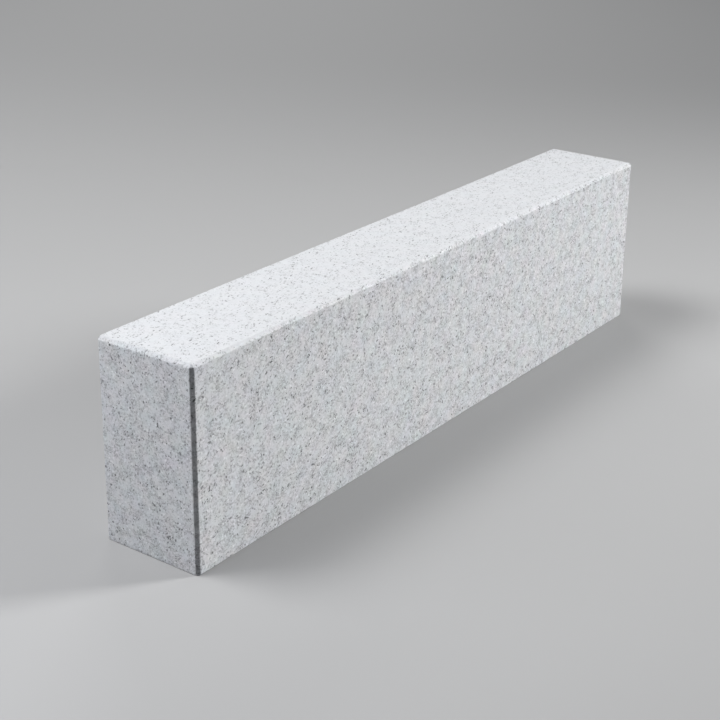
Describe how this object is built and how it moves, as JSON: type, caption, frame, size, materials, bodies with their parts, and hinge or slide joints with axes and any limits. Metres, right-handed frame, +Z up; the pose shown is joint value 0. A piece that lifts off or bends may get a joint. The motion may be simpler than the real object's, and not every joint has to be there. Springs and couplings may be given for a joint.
{
  "type": "granite curb",
  "caption": "Straight rectangular curb block of sawn light grey granite, chamfered along its top and upright edges, laid end to end to edge a road or a path.",
  "frame": {"origin": "centre of the bed, the face that the curb is laid on", "axes": "+X along the curb, -Y out of the face towards the road, +Z up"},
  "size_m": [1, 0.14, 0.25],
  "materials": {
    "granite": "fine-sawn, matt, light grey with fine dark mica flecks"
  },
  "bodies": {
    "root": {"curb_stone": "granite"}
  },
  "joints": []
}
